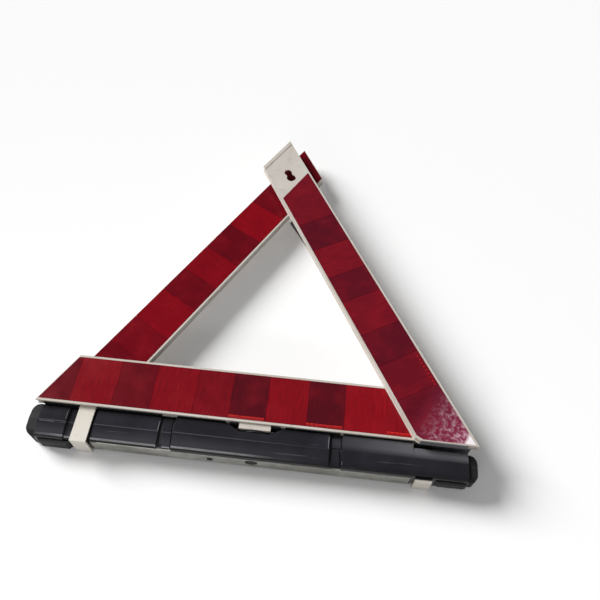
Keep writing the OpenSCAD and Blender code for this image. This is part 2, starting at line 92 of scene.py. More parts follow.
def srgb(r, g, b, alpha=1.0):
    """A screen colour, 0 to 255, as linear values."""
    def channel(c):
        c = c / 255
        return c / 12.92 if c <= 0.04045 else ((c + 0.055) / 1.055) ** 2.4
    return (channel(r), channel(g), channel(b), alpha)


def add(tree, kind, settings=None, **inputs):
    """Adds a node. Inputs are values or other nodes' outputs; names use _ for a space."""
    node = tree.nodes.new(kind)
    for key, value in (settings or {}).items():
        setattr(node, key, value)
    for key, value in inputs.items():
        socket = node.inputs[int(key[1:])] if key[0] == "_" else node.inputs[key.replace("_", " ")]
        if isinstance(value, bpy.types.NodeSocket):
            tree.links.new(value, socket)
        else:
            socket.default_value = value
    return node


def blend(tree, amount, first, second):
    """Mixes two colours by an amount from 0 to 1."""
    return add(tree, "ShaderNodeMix", {"data_type": "RGBA"},
               _0=amount, _6=first, _7=second).outputs[2]


def times(tree, first, second):
    """Multiplies two values."""
    return add(tree, "ShaderNodeMath", {"operation": "MULTIPLY"}, _0=first, _1=second).outputs[0]


def scaled(tree, where, factors):
    """Places squeezed or drawn out by one factor for each direction."""
    return add(tree, "ShaderNodeVectorMath", {"operation": "MULTIPLY"}, _0=where,
               _1=factors).outputs[0]


def along(tree, where, way):
    """How far each place lies along a direction."""
    return add(tree, "ShaderNodeVectorMath", {"operation": "DOT_PRODUCT"}, _0=where,
               _1=way).outputs["Value"]


def stretch(tree, value, low, high, to_low, to_high):
    """Stretches a value from one range to another, and keeps it inside."""
    return add(tree, "ShaderNodeMapRange", None, Value=value, From_Min=low, From_Max=high,
               To_Min=to_low, To_Max=to_high).outputs[0]


def noise(tree, where, scale, detail, rough=0.5, warp=0.0):
    """Cloudy noise. A larger scale gives smaller clouds, more detail gives finer edges."""
    return add(tree, "ShaderNodeTexNoise", None, Vector=where, Scale=scale, Detail=detail,
               Roughness=rough, Distortion=warp).outputs["Fac"]


def start(name):
    """A new finish: its tree, its main shader and the object's own coordinates."""
    finish = bpy.data.materials.new(name)
    finish.use_nodes = True
    tree = finish.node_tree
    shader = tree.nodes["Principled BSDF"]
    place = tree.nodes.new("ShaderNodeTexCoord").outputs["Object"]
    return finish, tree, shader, place


def relief(tree, shader, height, strength, distance):
    """Lets a height pattern tilt the surface."""
    bump = add(tree, "ShaderNodeBump", None, Strength=strength, Distance=distance, Height=height)
    tree.links.new(bump.outputs[0], shader.inputs["Normal"])


def surface(tree, shader, colour, rough, **levels):
    """Wires colour and roughness into the main shader and sets its other inputs."""
    tree.links.new(colour, shader.inputs["Base Color"])
    tree.links.new(rough, shader.inputs["Roughness"])
    for key, value in levels.items():
        shader.inputs[key.replace("_", " ")].default_value = value


print("helpers ready")

# %% [markdown]
# ### Ivory plastic
# The frames are moulded in white plastic that has aged towards ivory. Large soft patches carry
# the yellowing, smaller ones the handling marks, and a very fine grain breaks up the gloss.

# %% Ivory plastic


def ivory(name, pale, aged, gloss=(0.42, 0.6)):
    finish, tree, shader, place = start(name)
    handled = srgb(150, 140, 126)
    patches = stretch(tree, noise(tree, place, scale=11, detail=4), 0.35, 0.65, 0, 1)
    marks = stretch(tree, noise(tree, place, 95, 6, rough=0.62), 0.56, 0.74, 0, 0.35)
    colour = blend(tree, marks, blend(tree, patches, pale, aged), handled)
    rough = stretch(tree, noise(tree, place, scale=60, detail=4), 0.3, 0.7, *gloss)
    surface(tree, shader, colour, rough, Specular_IOR_Level=0.4)
    relief(tree, shader, noise(tree, place, scale=1500, detail=2), 0.12, 0.0002)
    return finish


frame_ivory = ivory("frame ivory", srgb(207, 201, 194), srgb(194, 184, 173))
hook_ivory = ivory("hook ivory", srgb(226, 221, 212), srgb(214, 206, 194), (0.38, 0.5))
print("made", frame_ivory.name, "and", hook_ivory.name)

# %% [markdown]
# ### Red reflector plastic
# A reflector is clear red plastic with rows of tiny mirror corners on its back. Its tiles are cut
# at different angles, so from any one side some tiles look bright and their neighbours dark.
# Here each tile carries a number called tone, and the finish mixes a dark and a bright red by it.
# Fine streaks across the arm stand for the rows of corners, too small to model. The right arm's
# lower tip is scuffed white, so its finish gets a haze that fades along the arm.

# %% Red reflector plastic


def hazed(tree, place, arm, colour, rough, strength):
    """Pale scuffs that fade away from the lens's lower right tip, as a new colour and roughness."""
    rosy, scuffed, bare = srgb(160, 60, 94), srgb(234, 208, 222), srgb(246, 238, 240)
    tip = max(parts[arm + "_lens"].data.vertices, key=lambda p: p.co.x - p.co.y).co
    from_tip = add(tree, "ShaderNodeVectorMath", {"operation": "SUBTRACT"}, _0=place,
                   _1=tip).outputs[0]
    reach = along(tree, from_tip, (-1.0, 0.55, 0))
    veil = stretch(tree, reach, 0.004, 0.075, 0.6, 0)
    near = stretch(tree, reach, 0.006, 0.062, strength, 0)
    wisps = stretch(tree, noise(tree, place, 190, 9, rough=0.74, warp=0.25), 0.47, 0.68, 0, 1)
    scuffs = times(tree, near, wisps)
    worn = stretch(tree, reach, 0.008, 0.012, 1.0, 0)
    colour = blend(tree, veil, colour, rosy)
    colour = blend(tree, scuffs, colour, scuffed)
    colour = blend(tree, worn, colour, bare)
    rough = add(tree, "ShaderNodeMath", {"operation": "ADD", "use_clamp": True}, _0=rough,
                _1=scuffs).outputs[0]
    return colour, rough


def reflector(name, arm, dark, bright, gloss=0.16, haze=0.0):
    finish, tree, shader, place = start(name)
    shade, glow, dust = srgb(60, 8, 18), srgb(166, 22, 34), srgb(176, 60, 70)
    tone = add(tree, "ShaderNodeAttribute", {"attribute_name": "tone"}).outputs["Fac"]
    rows = add(tree, "ShaderNodeCombineXYZ", None, X=along(tree, place, ARMS[arm]["u"]),
               Y=along(tree, place, ARMS[arm]["v"])).outputs[0]
    streaks = noise(tree, scaled(tree, rows, (620, 55, 1)), scale=1, detail=2)
    cloud = noise(tree, place, scale=38, detail=4)
    specks = stretch(tree, noise(tree, place, 520, 3, rough=0.7), 0.7, 0.78, 0, 0.5)
    colour = blend(tree, tone, dark, bright)
    colour = blend(tree, stretch(tree, streaks, 0.35, 0.65, 0.0, 0.30), colour, shade)
    colour = blend(tree, stretch(tree, cloud, 0.45, 0.75, 0.0, 0.25), colour, glow)
    colour = blend(tree, specks, colour, dust)
    rough = stretch(tree, cloud, 0.3, 0.7, 0.16, 0.30)
    if haze:
        colour, rough = hazed(tree, place, arm, colour, rough, haze)
    surface(tree, shader, colour, rough, Specular_IOR_Level=gloss)
    relief(tree, shader, streaks, 0.10, 0.0003)
    return finish


base_red = reflector("reflector red, base arm", "base", srgb(84, 13, 25), srgb(142, 14, 26))
left_red = reflector("reflector red, left arm", "left", srgb(88, 13, 25), srgb(138, 13, 26),
                     gloss=0.05)
right_red = reflector("reflector red, right arm", "right", srgb(86, 16, 32), srgb(134, 20, 34),
                      gloss=0.14, haze=1.0)
print("made three reflector finishes")

# %% Red core under the tiles


def core_red():
    finish, tree, shader, place = start("reflector core")
    deep, bright = srgb(120, 14, 24), srgb(158, 30, 40)
    depth = noise(tree, place, scale=240, detail=4)
    colour = blend(tree, stretch(tree, depth, 0.35, 0.65, 0, 1), deep, bright)
    rough = stretch(tree, depth, 0.3, 0.7, 0.2, 0.35)
    surface(tree, shader, colour, rough, Specular_IOR_Level=0.3)
    relief(tree, shader, noise(tree, place, scale=900, detail=2), 0.1, 0.0002)
    return finish


reflector_core = core_red()
print("made", reflector_core.name)

# %% [markdown]
# ### Black plastic
# The foot is black plastic with a faint blue cast. It has been slid over roads, so it carries
# fine long scratches, dust in the grain and a gloss that changes from patch to patch. Its front
# also carries painted light: paler towards the upper right and the lower left, a painted highlight
# along the crease and painted shade along the lower edge.

# %% Black plastic


def painted_front_light(tree, place, colour, painted_light):
    """A colour with painted light and shade: paler upper right and lower left, a lit crease, a dark
    lower edge.
    """
    # Painted light: a paler grey on the upper half towards the right and on the lower half towards
    # the left.
    upper_right_light, lower_left_light = srgb(116, 115, 119), srgb(84, 83, 88)
    # A painted highlight along the crease, and painted shade along the lower edge.
    pale, dark = srgb(98, 97, 103), srgb(10, 10, 12)
    x, y, _ = add(tree, "ShaderNodeSeparateXYZ", None, Vector=place).outputs
    upper = stretch(tree, y, 0.0, 0.006, 0, painted_light)
    lower = stretch(tree, y, -0.001, -0.012, 0, 1)
    right = stretch(tree, x, 0.07, 0.21, 0.0, 1.0)
    left = stretch(tree, x, 0.09, -0.05, 0.0, 0.42)
    crease_y, half_width = 0.0003, 0.0005
    crease = add(tree, "ShaderNodeMath", {"operation": "COMPARE"}, _0=y, _1=crease_y,
                 _2=half_width).outputs[0]
    # Painted shade on the rounded lower edge.
    edge = stretch(tree, y, -0.0142, -0.0150, 0, 0.85)
    colour = blend(tree, times(tree, upper, right), colour, upper_right_light)
    colour = blend(tree, times(tree, lower, left), colour, lower_left_light)
    colour = blend(tree, times(tree, crease, left), colour, pale)
    return blend(tree, edge, colour, dark)


def black(name, deep, dusty, gloss=(0.3, 0.45), scratched=0.3, painted_light=0.0, grain=0.16):
    finish, tree, shader, place = start(name)
    dust = stretch(tree, noise(tree, place, 26, 7, rough=0.6), 0.42, 0.72, 0, 0.8)
    colour = blend(tree, dust, deep, dusty)
    if painted_light:
        colour = painted_front_light(tree, place, colour, painted_light)
    hairs = noise(tree, scaled(tree, place, (14, 420, 420)), 1, 3, rough=0.6, warp=0.4)
    scratches = stretch(tree, hairs, 0.66, 0.72, 0, scratched)
    colour = blend(tree, scratches, colour, srgb(122, 120, 126))
    rough = stretch(tree, noise(tree, place, scale=48, detail=5), 0.3, 0.7, *gloss)
    surface(tree, shader, colour, rough, Specular_IOR_Level=0.38)
    relief(tree, shader, noise(tree, place, scale=1100, detail=2), grain, 0.0003)
    return finish


# The foot's front carries the painted light, painted highlight and painted shade.
shell_black = black("foot black", srgb(30, 29, 35), srgb(44, 42, 50), (0.13, 0.22), painted_light=0.85,
                    grain=0.06)
cap_black = black("cap black", srgb(15, 15, 18), srgb(30, 29, 34), (0.62, 0.78), scratched=0.15)
inner_black = black("inner black", srgb(20, 20, 23), srgb(34, 34, 38), (0.6, 0.75), scratched=0.0)
# Lighter black for worn ridges, partly wear and partly a painted highlight.
worn_highlit_black = black("worn highlit black", srgb(88, 87, 92), srgb(122, 121, 126), scratched=0.4)
# The strips along the base arm carry the same painted light and shade.
strip_black = black("strip black", srgb(26, 25, 30), srgb(40, 38, 44), (0.6, 0.75), scratched=0.0,
                    painted_light=1.0)
print("made five black finishes")

# %% [markdown]
# ### Steel, iron and rubber
# The strip under the foot is galvanised, so its zinc shows as large flat crystals: Voronoi cells
# with a slightly different grey in each. The rivets and screws are zinc plated and tarnish in
# patches. The ballast is rough cast iron, and the pads are matt rubber.

# %% Galvanised steel


def galvanised(name):
    finish, tree, shader, place = start(name)
    cells = add(tree, "ShaderNodeTexVoronoi", {"feature": "F1"}, Vector=place, Scale=130,
                Randomness=1.0).outputs["Color"]
    flake = add(tree, "ShaderNodeSeparateColor", None, _0=cells).outputs[0]
    grey, pale, stained = srgb(152, 151, 145), srgb(178, 177, 171), srgb(120, 117, 108)
    stain = stretch(tree, noise(tree, place, 20, 6, rough=0.6), 0.4, 0.7, 0, 0.6)
    colour = blend(tree, stain, blend(tree, flake, grey, pale), stained)
    surface(tree, shader, colour, stretch(tree, flake, 0, 1, 0.42, 0.6), Metallic=0.6)
    relief(tree, shader, noise(tree, place, scale=700, detail=3), 0.15, 0.0002)
    return finish


strip_zinc = galvanised("galvanised strip")
print("made", strip_zinc.name)

# %% Plated bolts


def plated(name, clean, dull):
    finish, tree, shader, place = start(name)
    tarnish = stretch(tree, noise(tree, place, scale=160, detail=5), 0.4, 0.7, 0, 0.7)
    rough = stretch(tree, tarnish, 0, 0.7, 0.24, 0.45)
    surface(tree, shader, blend(tree, tarnish, clean, dull), rough, Metallic=1.0)
    relief(tree, shader, noise(tree, place, scale=900, detail=2), 0.1, 0.0002)
    return finish


bolt_zinc = plated("plated steel", srgb(206, 205, 200), srgb(150, 146, 136))
bolt_black = plated("blackened steel", srgb(58, 57, 60), srgb(36, 34, 34))
print("made", bolt_zinc.name, "and", bolt_black.name)

# %% Cast iron and rubber


def rough_solid(name, first, second, scale, roughness, bumps, metallic=0.0):
    finish, tree, shader, place = start(name)
    grain = noise(tree, place, scale, 6, rough=0.6)
    colour = blend(tree, stretch(tree, grain, 0.35, 0.65, 0, 1), first, second)
    rough = stretch(tree, grain, 0.3, 0.7, *roughness)
    surface(tree, shader, colour, rough, Metallic=metallic)
    relief(tree, shader, grain, bumps, 0.0006)
    return finish


iron = rough_solid("cast iron", srgb(70, 66, 62), srgb(104, 98, 92), 220, (0.6, 0.8), 0.5, 0.8)
rubber = rough_solid("pad rubber", srgb(17, 17, 20), srgb(32, 31, 34), 380, (0.7, 0.85), 0.3)
print("made", iron.name, "and", rubber.name)

# %% [markdown]
# ## Dressing the CAD parts
# A CAD part keeps its shape. It only swaps its plain material for a finish, by name.

# %% Give each CAD part its finish
FINISHES = {
    frame_ivory: ["base_frame", "left_frame", "right_frame", "turntable_tab"],
    hook_ivory: ["front_hook", "rear_hook"],
    reflector_core: ["base_lens", "left_lens", "right_lens"],
    shell_black: ["front_shell", "rear_shell", "right_end"],
    cap_black: ["left_cap", "right_cap", "locking_stud", "strip_screw"],
    inner_black: ["pivot_block", "turntable"],
    strip_zinc: ["steel_strip"],
    bolt_zinc: ["left_rivet", "right_rivet", "pivot_washer", "shell_screws"],
    bolt_black: ["pivot_bolt"],
    iron: ["left_ballast", "right_ballast"],
    rubber: ["left_pad", "right_pad"],
    strip_black: ["heel_strip", "base_strip"],
}
for finish, names in FINISHES.items():
    for name in names:
        parts[name].data.materials.clear()
        parts[name].data.materials.append(finish)
    print(finish.name, "on", ", ".join(names))

# %% [markdown]
# ## Reflector tiles
# Each lens is moulded as a row of tiles about 41 mm long. The seams between them catch light.
# A tile is the lens's outline cut off at two places along the arm, so the end tiles come out
# slanted by themselves. Cutting a convex outline takes one short function, which is simpler
# than a boolean. Each tile then rises a little from the lens and its top edge is cut back a
# little, which leaves narrow seams. On the left arm the red reaches over the rim at the outer
# side and at the far end, and on the other two arms at the lower or left end, so those outlines
# grow.

# %% Cut an outline along an arm


def outline_of(name, arm):
    """The lens's outline as (u, v) corners in order, read from the CAD part."""
    origin, u, v = (ARMS[arm][key] for key in ("origin", "u", "v"))
    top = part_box(name)[1].z
    points = {(round((p.co - origin).dot(u), 6), round((p.co - origin).dot(v), 6))
              for p in parts[name].data.vertices if abs(p.co.z - top) < 1e-6}
    middle = Vector((sum(p[0] for p in points), sum(p[1] for p in points))) / len(points)
    return sorted(points, key=lambda p: math.atan2(p[1] - middle.y, p[0] - middle.x))


def keep_side(corners, limit, sign):
    """Keeps the part of an outline where sign * (u - limit) is positive."""
    kept = []
    for (u0, v0), (u1, v1) in zip(corners, corners[1:] + corners[:1]):
        inside0, inside1 = sign * (u0 - limit) >= 0, sign * (u1 - limit) >= 0
        if inside0:
            kept.append((u0, v0))
        if inside0 != inside1:
            t = (limit - u0) / (u1 - u0)
            kept.append((limit, v0 + t * (v1 - v0)))
    return kept


def grow(corners, outer, far, near):
    """Moves an outline's outer side, far end and near end outwards, by so many millimetres."""
    lines = []
    for (u0, v0), (u1, v1) in zip(corners, corners[1:] + corners[:1]):
        way = Vector((u1 - u0, v1 - v0)).normalized()
        out = Vector((way.y, -way.x))
        reach = outer if out.y < -0.9 else far if out.x > 0.5 else near if out.x < -0.5 else 0.0
        lines.append((Vector((u0, v0)) + out * reach * mm, way))
    moved = []
    for (p, a), (q, b) in zip(lines[-1:] + lines[:-1], lines):
        turn = a.x * b.y - a.y * b.x
        t = ((q - p).x * b.y - (q - p).y * b.x) / turn if abs(turn) > 1e-6 else (q - p).dot(a)
        moved.append(tuple(p + a * t))
    return moved


print("base lens has", len(outline_of("base_lens", "base")), "corners")

# %% [markdown]
# A piece that is made here starts as rings of corners. The skin between the rings and the two
# closed ends make it solid.

# %% Turn rings of corners into a piece


def skin(bm, rings):
    """Faces between each ring of corners and the next, and over both ends."""
    for one, two in zip(rings, rings[1:]):
        for i in range(len(one)):
            j = (i + 1) % len(one)
            bm.faces.new((one[i], one[j], two[j], two[i]))
    bm.faces.new(rings[0])
    bm.faces.new(rings[-1])


def piece_of(bm, name, finish):
    """An object made from all the faces so far, turned outwards."""
    bmesh.ops.recalc_face_normals(bm, faces=bm.faces)
    mesh = bpy.data.meshes.new(name)
    bm.to_mesh(mesh)
    bm.free()
    mesh.materials.append(finish)
    piece = bpy.data.objects.new(name, mesh)
    bpy.context.scene.collection.objects.link(piece)
    return piece


print("pieces can be made from rings")

# %% Build a row of tiles
SEAM = 0.1 * mm
RISE = 0.7 * mm
CLEAR = 0.01 * mm
# How far each ring of a tile lies inside its outline, in millimetres, and its share of the rise.
TILE_RINGS = ((0.02, 0.0), (0.02, 0.8), (0.15, 1.0))
# How far each arm's red reaches past its lens: outer side, far end, near end.
WIDER = {"base": (0, 0, 1.6), "left": (2.2, 1.7, 0), "right": (0, 0, 1.1)}


def tile_row(name, arm, cuts, tones, finish, body):
    """A row of tiles, cut at places along the arm in millimetres, with a tone for each."""
    origin, u, v = (ARMS[arm][key] for key in ("origin", "u", "v"))
    corners = grow(outline_of(arm + "_lens", arm), *WIDER[arm])
    ends = [min(p[0] for p in corners)] + [c * mm for c in cuts] + [max(p[0] for p in corners)]
    bm = bmesh.new()
    layer = bm.verts.layers.float.new("tone")
    for low, high, tone in zip(ends, ends[1:], tones):
        shape = keep_side(keep_side(corners, low + SEAM / 2, 1), high - SEAM / 2, -1)
        centre = Vector((sum(p[0] for p in shape), sum(p[1] for p in shape))) / len(shape)
        rings = []
        for inset, share in TILE_RINGS:
            ring = []
            for p in shape:
                inward = (centre - Vector(p)).normalized() * inset * mm
                spot = origin + u * (p[0] + inward.x) + v * (p[1] + inward.y)
                vert = bm.verts.new(spot + Vector((0, 0, CLEAR + RISE * share)))
                vert[layer] = tone
                ring.append(vert)
            rings.append(ring)
        skin(bm, rings)
    tiles = piece_of(bm, name, finish)
    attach(tiles, body)
    print(name, "has", len(tones), "tiles and", len(tiles.data.polygons), "faces")


# %% Lay the three rows
base_cuts = [-198, -153, -112.7, -67.5, -29, 9.7, 52.3, 91.5, 135.6]
base_tones = [0.25, 0.8, 0.3, 0.8, 0.55, 0.02, 0.85, 0.02, 1.0, 0.8]
tile_row("base_tiles", "base", base_cuts, base_tones, base_red, "base")
left_cuts = [47, 85, 131.5, 169, 210, 256, 304]
left_tones = [0.35, 0.5, 0.85, 0.3, 0.8, 0.25, 0.95, 0.3]
tile_row("left_tiles", "left", left_cuts, left_tones, left_red, "left_arm")
right_cuts = [23.8, 65.6, 106, 151.9, 189.1, 232.9, 276.2]
right_tones = [0.2, 0.45, 0.15, 0.65, 0.2, 0.75, 0.1, 0.55]
tile_row("right_tiles", "right", right_cuts, right_tones, right_red, "right_arm")

# %% [markdown]
# ## Light on the prism rows
# Along some tiles' edges the mirror corners throw the light straight back, and a dotted line of
# bright red appears. Here that light is painted: rows of small pyramids carry a painted highlight
# in their red, and glow a little. Geometry Nodes place one small pyramid after another along a
# line: the line sets where, the cone gives the shape, and the sizes stay open as inputs of the
# tree.

# %% A tree that lays pyramids in a row


# The colour is a painted highlight, and the small emission a painted glow, for the prisms are no
# lamp.
def sparkle_finish(name, deep, hot):
    finish, tree, shader, place = start(name)
    dots = noise(tree, place, scale=800, detail=1)
    colour = blend(tree, stretch(tree, dots, 0.4, 0.6, 0, 1), deep, hot)
    for socket in ("Base Color", "Emission Color"):
        tree.links.new(colour, shader.inputs[socket])
    shader.inputs["Emission Strength"].default_value = 0.08
    shader.inputs["Specular IOR Level"].default_value = 0.1
    shader.inputs["Roughness"].default_value = 0.4
    return finish


def prism_row_tree(finish):
    """A tree that sets Count blunt pyramids in a line, each of them Size large."""
    tree = bpy.data.node_groups.new("row of prisms", "GeometryNodeTree")
    face = tree.interface
    face.new_socket("Geometry", in_out="OUTPUT", socket_type="NodeSocketGeometry")
    for label, kind in (("Count", "NodeSocketInt"), ("Start", "NodeSocketVector"),
                        ("Step", "NodeSocketVector"), ("Size", "NodeSocketVector"),
                        ("Turn", "NodeSocketFloat")):
        face.new_socket(label, in_out="INPUT", socket_type=kind)
    given = tree.nodes.new("NodeGroupInput").outputs
    line = add(tree, "GeometryNodeMeshLine", {"mode": "OFFSET"})
    tree.links.new(given["Count"], line.inputs["Count"])
    tree.links.new(given["Start"], line.inputs["Start Location"])
    tree.links.new(given["Step"], line.inputs["Offset"])
    cone = add(tree, "GeometryNodeMeshCone", None, Vertices=4, Radius_Top=0.12, Radius_Bottom=0.5,
               Depth=1.0)
    turn = add(tree, "ShaderNodeCombineXYZ", None, Z=given["Turn"])
    spread = add(tree, "GeometryNodeInstanceOnPoints", None, Points=line.outputs[0],
                 Instance=cone.outputs[0], Rotation=turn.outputs[0], Scale=given["Size"])
    solid = add(tree, "GeometryNodeRealizeInstances", None, Geometry=spread.outputs[0])
    dressed = add(tree, "GeometryNodeSetMaterial", None, Geometry=solid.outputs[0], Material=finish)
    result = tree.nodes.new("NodeGroupOutput")
    tree.links.new(dressed.outputs[0], result.inputs[0])
    return tree


hot_tree = prism_row_tree(sparkle_finish("lit prisms", srgb(204, 16, 12), srgb(236, 48, 24)))
deep_tree = prism_row_tree(sparkle_finish("deep prisms", srgb(140, 9, 15), srgb(178, 12, 16)))
print("tree inputs:", [s.name for s in hot_tree.interface.items_tree if s.in_out == "INPUT"])

# %% Run the tree for a set of rows


def run_tree(tree, values):
    """A plain mesh made by a tree with these inputs."""
    seed_mesh = bpy.data.meshes.new("seed")
    holder = bpy.data.objects.new("holder", seed_mesh)
    bpy.context.scene.collection.objects.link(holder)
    modifier = holder.modifiers.new("tree", "NODES")
    modifier.node_group = tree
    for item in tree.interface.items_tree:
        if item.in_out == "INPUT" and item.name in values:
            modifier[item.identifier] = values[item.name]
    holder.update_tag()
    bpy.context.view_layer.update()
    ready = holder.evaluated_get(bpy.context.evaluated_depsgraph_get())
    mesh = bpy.data.meshes.new_from_object(ready)
    bpy.data.objects.remove(holder)
    return mesh


def join_meshes(name, meshes, body):
    """One object out of several plain meshes, riding on a body."""
    bm = bmesh.new()
    for mesh in meshes:
        bm.from_mesh(mesh)
    joined = bpy.data.meshes.new(name)
    bm.to_mesh(joined)
    bm.free()
    for material in meshes[0].materials:
        joined.materials.append(material)
    piece = bpy.data.objects.new(name, joined)
    bpy.context.scene.collection.objects.link(piece)
    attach(piece, body)
    print(name, "has", len(joined.polygons), "faces")


print("rows can be run and joined")

# %% Lay the lit rows
PITCH = 1.3 * mm


def lit_row(tree, arm, start_u, end_u, start_v, row_step, rows, size, pitch=PITCH):
    """Meshes for a few rows of prisms between two places along an arm, in millimetres."""
    origin, u, v = (ARMS[arm][key] for key in ("origin", "u", "v"))
    count = int((end_u - start_u) * mm / pitch)
    made = []
    for row in range(rows):
        spot = origin + u * start_u * mm + v * (start_v + row * row_step) * mm
        spot.z += RISE + 2 * CLEAR
        made.append(run_tree(tree, {
            "Count": count, "Start": tuple(spot), "Step": tuple(u * pitch),
            "Size": tuple(s * mm for s in size),
            "Turn": math.atan2(u.y, u.x) + math.pi / 4}))
    return made


lit_ends = [(-28.3, 9.4), (52.9, 91.2), (136.2, 176)]
hot_rows, deep_rows = [], []
for low, high in lit_ends:
    hot_rows += lit_row(hot_tree, "base", low, high, start_v=5.4, row_step=1.2, rows=1,
                        size=(1.3, 1.3, 0.18))
    deep_rows += lit_row(deep_tree, "base", low, high, start_v=3.1, row_step=1.15, rows=2,
                         size=(1.5, 1.4, 0.15))
join_meshes("base_lit_prisms", hot_rows, "base")
join_meshes("base_deep_prisms", deep_rows, "base")
right_rows = lit_row(hot_tree, "right", 24, 68, start_v=-20.9, row_step=1, rows=1,
                     size=(1.7, 1.5, 0.2), pitch=4.4 * mm)
join_meshes("right_lit_prisms", right_rows, "right_arm")

# %% [markdown]
# ## Close detail on the foot
# The foot's front is one moulding with small panels and tongues. Dark groove floors paint the
# shade in its grooves, and pale worn ridges carry a painted highlight as well as wear. Each is a
# low
# slab laid on the CAD surface: a ray from above finds the height of the surface at each row of the
# slab, so the slab follows the crease and the rounding. Its edges slope a little, as a mould needs.

# %% Find the foot's surface
def surface_of(names):
    corners, faces = [], []
    for name in names:
        mesh = parts[name].data
        shift = len(corners)
        corners += [v.co.copy() for v in mesh.vertices]
        faces += [[i + shift for i in f.vertices] for f in mesh.polygons]
    return BVHTree.FromPolygons(corners, faces)


foot_surface = surface_of(["front_shell", "rear_shell", "right_end", "left_cap", "right_cap"])


def front_z(x, y):
    """Height of the foot's front, all in millimetres."""
    hit = foot_surface.ray_cast(Vector((x, y, 100)) * mm, Vector((0, 0, -1)))[0]
    return hit.z / mm


print("front at the middle", round(front_z(0, 0), 2), "mm")

# %% Lay low slabs on it
ROW_STEP = 1.5
SINK = 0.05


def slab(bm, top_y, low_y, top_x, low_x, rise, slope=0.25):
    """A slab between two heights on the foot, each with its left and right end."""
    count = max(2, round((top_y - low_y) / ROW_STEP))
    rings = []
    for i in range(count + 1):
        t = i / count
        y = top_y + (low_y - top_y) * t
        x0, x1 = (a + (b - a) * t for a, b in zip(top_x, low_x))
        under = front_z((x0 + x1) / 2, y)
        top = min(max(y, low_y + slope), top_y - slope)
        above = max(under, front_z((x0 + x1) / 2, top)) + rise
        ring = [(x0, y, under - SINK), (x0 + slope, top, above),
                (x1 - slope, top, above), (x1, y, under - SINK)]
        rings.append([bm.verts.new(Vector(p) * mm) for p in ring])
    skin(bm, rings)


def slabs(name, rows, finish, body):
    """One piece from several slabs, each given by its ends and rise."""
    bm = bmesh.new()
    for row in rows:
        slab(bm, *row)
    piece = piece_of(bm, name, finish)
    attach(piece, body)
    print(name, "has", len(rows), "slabs")


print("slabs are", SINK, "mm deep in the surface")

# %% [markdown]
# Each line below is one slab: its upper and lower Y, its two ends in X at the top, its two ends
# at the bottom, how far it rises, and at times how wide its slope is, all in millimetres.

# %% Groove floors with painted shade, tongues, and worn ridges with a painted highlight
# Dark floors in the two grooves paint the shade that falls there.
slabs("groove_shade_floors", [
    (15.2, -15.6, (78.2, 90.8), (78.2, 90.8), 0.06, 0.05),
    (15.2, -15.6, (-98.3, -82.7), (-98.3, -82.7), 0.06, 0.05),
], inner_black, "foot")
slabs("groove_tongues", [
    (12.6, 2.4, (80.0, 89.6), (80.2, 89.8), 0.9),
    (0.9, -15.2, (80.9, 88.0), (79.5, 90.0), 1.1),
    (15.0, -14.6, (-96.5, -86.2), (-92.5, -83.8), 0.8),
], shell_black, "foot")
# Pale worn ridges: wear, and a painted highlight in their lighter colour.
slabs("worn_highlit_edges", [
    (13.2, 0.6, (76.7, 77.7), (76.7, 77.7), 0.22),
    (-10.2, -13.4, (91.2, 92.0), (91.2, 92.0), 0.25),
    (11.2, 1.2, (-99.7, -98.8), (-99.7, -98.8), 0.22),
    (12.6, 2.6, (-198.2, -197.4), (-197.6, -196.8), 0.2),
    (-0.7, -1.5, (-224.0, -208.0), (-224.0, -208.0), 0.12, 0.1),
], worn_highlit_black, "foot")

# %% [markdown]
# A black strip in the hollow along the base arm's lower wall paints the shade there, ivory trim
# lines its two notches, a dark cover paints the shade at the root of the rear hook, and a lip on
# the foot closes the gap behind it.
# All are bars, made by sweeping a small section along X.

# %% Bars along X


def bars(name, spans, section, finish, body):
    """One piece from bars of the same section (y, z) between pairs of x, in millimetres."""
    bm = bmesh.new()
    for span in spans:
        skin(bm, [[bm.verts.new(Vector((x, y, z)) * mm) for y, z in section] for x in span])
    piece = piece_of(bm, name, finish)
    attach(piece, body)
    print(name, "has", len(spans), "bars")


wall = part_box("base_frame")[0].y / mm
wall_section = [(wall - 0.12, 27.7), (wall - 0.12, 31.8), (wall + 0.2, 32.3), (wall + 0.6, 32.3),
                (wall + 0.6, 28.9), (wall + 0.02, 28.8), (wall - 0.02, 27.6)]
notch_section = [(wall + 0.1, 29.2), (wall + 0.1, 32.0), (wall + 0.4, 32.3), (wall + 0.6, 32.3),
                 (wall + 0.6, 28.9), (wall + 0.3, 28.9)]
cover_section = [(14.4, 21.0), (14.4, 28.95), (16.9, 28.95), (16.9, 28.75), (14.65, 28.75),
                 (14.65, 21.0)]
lip_section = [(16.4, 9.0), (16.95, 9.6), (16.95, 28.4), (16.7, 28.9), (16.4, 28.9)]
# Painted shade: a dark strip in the wall's hollow, and a dark cover at the hook's root.
bars("wall_shade_strip", [(-226, -186.6), (-168.4, -98.6), (-82.5, -31.5), (31.5, 88.5), (92.5, 162.6)],
     wall_section, inner_black, "base")
bars("notch_trim", [(-30.8, -17.2), (17.2, 30.8)], notch_section, frame_ivory, "base")
bars("hook_shade_cover", [(165.2, 182.8)], cover_section, inner_black, "base")
bars("foot_lip", [(-225, -36), (77, 93)], lip_section, shell_black, "foot")

# %% [markdown]
# In the round recess of the foot, thin wings beside the turntable keep dirt out. Under the right
# arm, near the crossing, a black wedge paints the dark shade that falls there. Both are flat
# outlines pushed along one vector.

# %% Flat outlines with a thickness


def plate(name, outlines, thick, finish, body):
    """One piece from outlines of points in metres, each pushed along one vector."""
    bm = bmesh.new()
    for points in outlines:
        skin(bm, [[bm.verts.new(p + push) for p in points] for push in (Vector(), thick)])
    piece = piece_of(bm, name, finish)
    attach(piece, body)
    print(name, "has", len(outlines), "plates")


